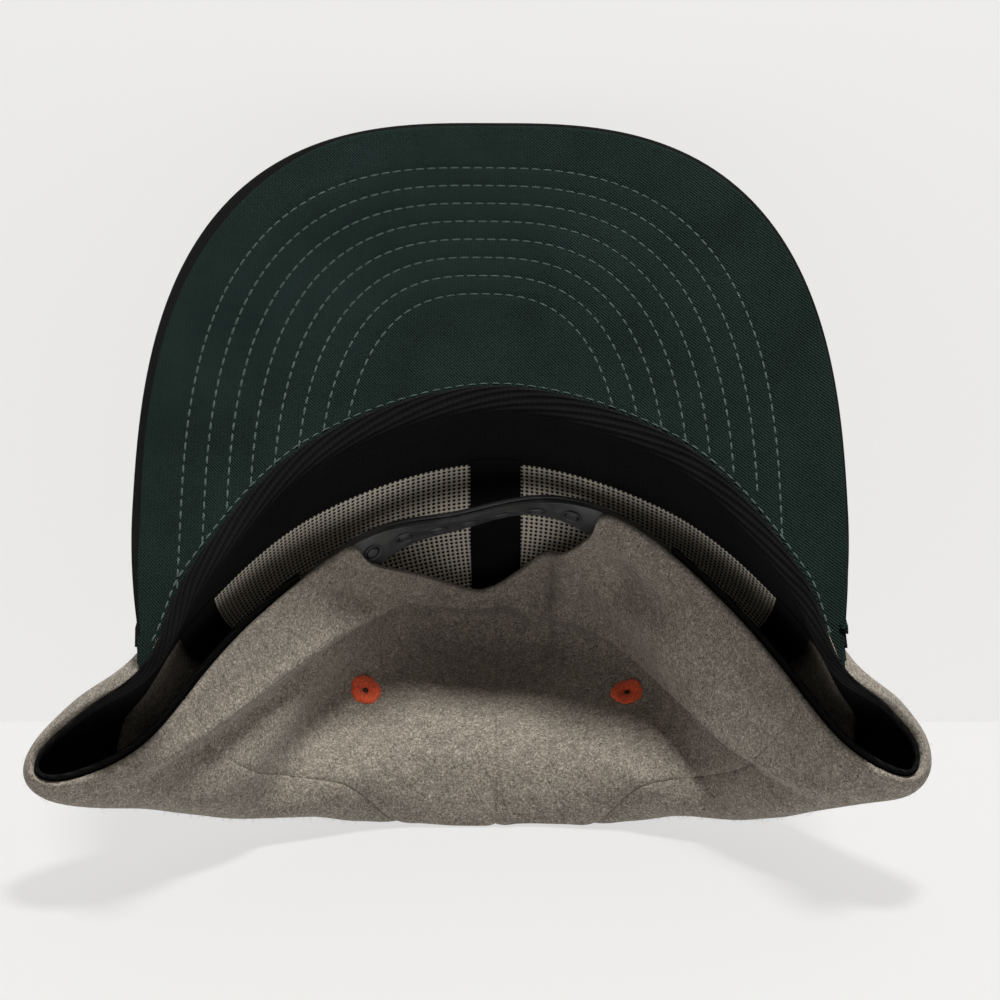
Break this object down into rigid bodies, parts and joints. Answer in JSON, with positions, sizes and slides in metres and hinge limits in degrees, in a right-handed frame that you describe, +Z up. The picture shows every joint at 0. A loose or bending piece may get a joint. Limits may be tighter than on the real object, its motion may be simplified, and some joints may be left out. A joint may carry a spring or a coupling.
{
  "type": "snapback cap",
  "caption": "Flat-peaked snapback cap resting on its crown: grey wool panels, green underpeak, bare black lining tapes and sweatband, grey snap strap.",
  "frame": {"origin": "middle of the underside of the whole cap's box, on the floor it rests on", "axes": "+X across the peak, +Y from the dropped back towards the front panels, +Z up"},
  "size_m": [0.232, 0.1242, 0.1859],
  "materials": {
    "wool": "grey-brown melange wool felt, matt",
    "eyelet_thread": "embroidery thread",
    "mesh": "stiff woven mesh",
    "black_cloth": "matt twill",
    "green_cloth": "brushed twill, matt",
    "strap_plastic": "smooth moulded strip"
  },
  "bodies": {
    "root": {"front_panel_right": "wool", "front_eyelet_right": "eyelet_thread", "side_panel_right": "wool", "side_eyelet_right": "eyelet_thread", "back_panel_right": "wool", "back_eyelet_right": "eyelet_thread", "front_mesh_right": "mesh", "temple_tape_right": "black_cloth", "rear_tape_right": "black_cloth", "front_panel_left": "wool", "front_eyelet_left": "eyelet_thread", "side_panel_left": "wool", "side_eyelet_left": "eyelet_thread", "back_panel_left": "wool", "back_eyelet_left": "eyelet_thread", "front_mesh_left": "mesh", "temple_tape_left": "black_cloth", "rear_tape_left": "black_cloth", "front_tape": "black_cloth", "sweatband": "black_cloth", "peak_under_cover": "green_cloth", "peak_top_cover": "black_cloth", "strap_with_holes": "strap_plastic", "strap_with_pegs": "strap_plastic", "button": "wool"}
  },
  "joints": []
}
